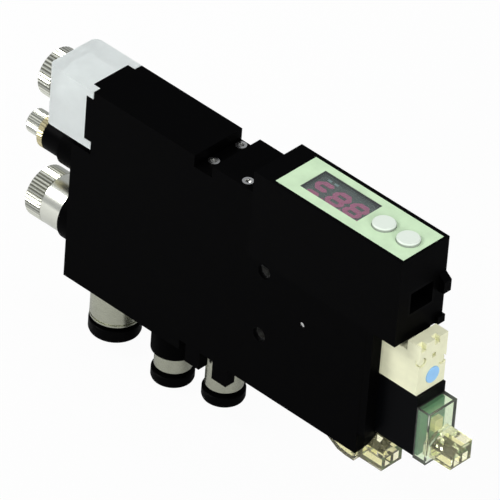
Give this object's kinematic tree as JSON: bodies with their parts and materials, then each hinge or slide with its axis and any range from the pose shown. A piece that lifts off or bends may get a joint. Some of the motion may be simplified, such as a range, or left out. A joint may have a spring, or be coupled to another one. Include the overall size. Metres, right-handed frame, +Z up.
{
  "type": "vacuum ejector unit",
  "caption": "Slim vacuum ejector unit with push-in tube fittings below, a filter with a clear cover, a flow needle, a digital pressure switch on top and pilot valves at one end.",
  "frame": {"origin": "centre of the two mounting holes, on the back face of the body", "axes": "+X along the body towards the pilot valves, +Y out of the back face, +Z up towards the display"},
  "size_m": [0.1493, 0.017, 0.087],
  "materials": {
    "body_plastic": "satin",
    "case_plastic": "satin",
    "housing_plastic": "satin",
    "steel_insert": "machined",
    "clear_cover": "frosted clear",
    "seal_rubber": "matte",
    "filter_fibre": "matte",
    "nickel": "nickel plated",
    "fitting_nickel": "nickel plated",
    "nut_brass": "knurled",
    "inner_brass": "turned",
    "inner_aluminium": "turned",
    "spring_steel": "drawn",
    "ring_plastic": "satin",
    "label_green": "satin",
    "window_dark": "glossy",
    "digit_plastic": "matte",
    "button_grey": "satin",
    "circuit_board": "satin",
    "sensor_plastic": "satin",
    "socket_plastic": "satin",
    "pilot_cream": "satin",
    "override_blue": "satin",
    "coil_plastic": "satin",
    "plunger_steel": "ground",
    "pilot_clear": "clear",
    "plug_clear": "tinted clear",
    "pin_metal": "plated"
  },
  "bodies": {
    "unit": {"valve_body": "body_plastic", "filter_block": "body_plastic", "end_plate": "body_plastic", "display_case": "case_plastic", "needle_housing": "housing_plastic", "mount_bushes": "steel_insert", "passage_plug": "steel_insert", "body_screws": "steel_insert", "filter_cover": "clear_cover", "cover_gasket": "seal_rubber", "cartridge_seals": "seal_rubber", "tube_seals": "seal_rubber", "end_gasket": "seal_rubber", "filter_element": "filter_fibre", "exhaust_fitting": "fitting_nickel", "vacuum_fitting": "fitting_nickel", "supply_fitting": "fitting_nickel", "nozzle": "inner_brass", "check_seat": "inner_brass", "diffuser": "inner_aluminium", "ejector_sleeve": "inner_aluminium", "check_spring": "spring_steel", "supply_spring": "spring_steel", "release_spring": "spring_steel", "tube_collets": "spring_steel", "label_panel": "label_green", "display_window": "window_dark", "digit_block": "digit_plastic", "switch_board": "circuit_board", "pilot_boards": "circuit_board", "pressure_sensor": "sensor_plastic", "switch_socket": "socket_plastic", "supply_pilot_base": "pilot_cream", "release_pilot_base": "pilot_cream", "supply_coil": "coil_plastic", "release_coil": "coil_plastic", "supply_pilot_cover": "pilot_clear", "supply_plug": "plug_clear", "release_plug": "plug_clear", "release_pilot_cover": "plug_clear", "contact_pins": "pin_metal"},
    "needle_ring": {"needle_seal": "seal_rubber"},
    "flow_needle": {"needle_knob": "nickel"},
    "needle_nut": {"lock_nut": "nut_brass"},
    "cap_ring": {"cap_seal": "seal_rubber"},
    "cap": {"ejector_cap": "nickel"},
    "screw_washer": {"thumb_washer": "seal_rubber"},
    "cover_screw": {"thumb_screw": "nickel"},
    "valve_disc": {"check_disc": "seal_rubber"},
    "exhaust_release": {"exhaust_ring": "ring_plastic"},
    "vacuum_release": {"vacuum_ring": "ring_plastic"},
    "supply_release": {"supply_ring": "ring_plastic"},
    "supply_valve_spool": {"supply_spool": "inner_aluminium"},
    "release_valve_spool": {"release_spool": "inner_aluminium"},
    "down_button": {"button_down": "button_grey"},
    "up_button": {"button_up": "button_grey"},
    "supply_override_button": {"supply_override": "override_blue"},
    "release_override_button": {"release_override": "override_blue"},
    "supply_pilot_plunger": {"supply_plunger": "plunger_steel"},
    "release_pilot_plunger": {"release_plunger": "plunger_steel"}
  },
  "joints": [
    {"name": "needle_travel", "type": "slide", "parent": "unit", "child": "needle_ring", "axis": [-1, 0, 0], "range_m": [0, 0.0015]},
    {"name": "needle_turn", "type": "hinge", "parent": "needle_ring", "child": "flow_needle", "pos_m": [-0.0673, -0.0085, 0.0033], "axis": [-1, 0, 0], "range_deg": [0, 1080]},
    {"name": "lock_nut_turn", "type": "hinge", "parent": "unit", "child": "needle_nut", "pos_m": [-0.0818, -0.0085, 0.0033], "axis": [-1, 0, 0], "range_deg": [0, 180]},
    {"name": "cap_travel", "type": "slide", "parent": "unit", "child": "cap_ring", "axis": [-1, 0, 0], "range_m": [0, 0.002]},
    {"name": "cap_turn", "type": "hinge", "parent": "cap_ring", "child": "cap", "pos_m": [-0.075, -0.0085, -0.0162], "axis": [-1, 0, 0], "range_deg": [0, 720]},
    {"name": "cover_screw_travel", "type": "slide", "parent": "unit", "child": "screw_washer", "axis": [-1, 0, 0], "range_m": [0, 0.0014]},
    {"name": "cover_screw_turn", "type": "hinge", "parent": "screw_washer", "child": "cover_screw", "pos_m": [-0.079, -0.0085, 0.0224], "axis": [-1, 0, 0], "range_deg": [0, 720]},
    {"name": "check_disc_lift", "type": "slide", "parent": "unit", "child": "valve_disc", "axis": [0, 0, -1], "range_m": [0, 0.0012], "stiffness_N_per_m": 60, "deforming": ["check_spring"]},
    {"name": "exhaust_ring_press", "type": "slide", "parent": "unit", "child": "exhaust_release", "axis": [0, 0, 1], "range_m": [0, 0.0006], "stiffness_N_per_m": 800},
    {"name": "vacuum_ring_press", "type": "slide", "parent": "unit", "child": "vacuum_release", "axis": [0, 0, 1], "range_m": [0, 0.0006], "stiffness_N_per_m": 800},
    {"name": "supply_ring_press", "type": "slide", "parent": "unit", "child": "supply_release", "axis": [0, 0, 1], "range_m": [0, 0.0006], "stiffness_N_per_m": 800},
    {"name": "supply_spool_shift", "type": "slide", "parent": "unit", "child": "supply_valve_spool", "axis": [-1, 0, 0], "range_m": [0, 0.0015], "stiffness_N_per_m": 500, "deforming": ["supply_spring"]},
    {"name": "release_spool_shift", "type": "slide", "parent": "unit", "child": "release_valve_spool", "axis": [1, 0, 0], "range_m": [0, 0.0015], "stiffness_N_per_m": 500, "deforming": ["release_spring"]},
    {"name": "down_press", "type": "slide", "parent": "unit", "child": "down_button", "axis": [0, 0, -1], "range_m": [0, 0.0004], "stiffness_N_per_m": 1000},
    {"name": "up_press", "type": "slide", "parent": "unit", "child": "up_button", "axis": [0, 0, -1], "range_m": [0, 0.0004], "stiffness_N_per_m": 1000},
    {"name": "supply_override_press", "type": "slide", "parent": "unit", "child": "supply_override_button", "axis": [-1, 0, 0], "range_m": [0, 0.0008], "stiffness_N_per_m": 800},
    {"name": "supply_plunger_shift", "type": "slide", "parent": "unit", "child": "supply_pilot_plunger", "axis": [0, 0, -1], "range_m": [0, 0.0005]},
    {"name": "release_override_press", "type": "slide", "parent": "unit", "child": "release_override_button", "axis": [0, 0, 1], "range_m": [0, 0.0008], "stiffness_N_per_m": 800},
    {"name": "release_plunger_shift", "type": "slide", "parent": "unit", "child": "release_pilot_plunger", "axis": [1, 0, 0], "range_m": [0, 0.0005]}
  ],
  "couplings": [
    {"joint": "needle_turn", "follows": "needle_travel", "rad_per_m": 12566},
    {"joint": "cap_turn", "follows": "cap_travel", "rad_per_m": 6283.2},
    {"joint": "cover_screw_turn", "follows": "cover_screw_travel", "rad_per_m": 8976},
    {"joint": "supply_plunger_shift", "follows": "supply_override_press", "ratio": 0.625},
    {"joint": "release_plunger_shift", "follows": "release_override_press", "ratio": 0.625}
  ]
}
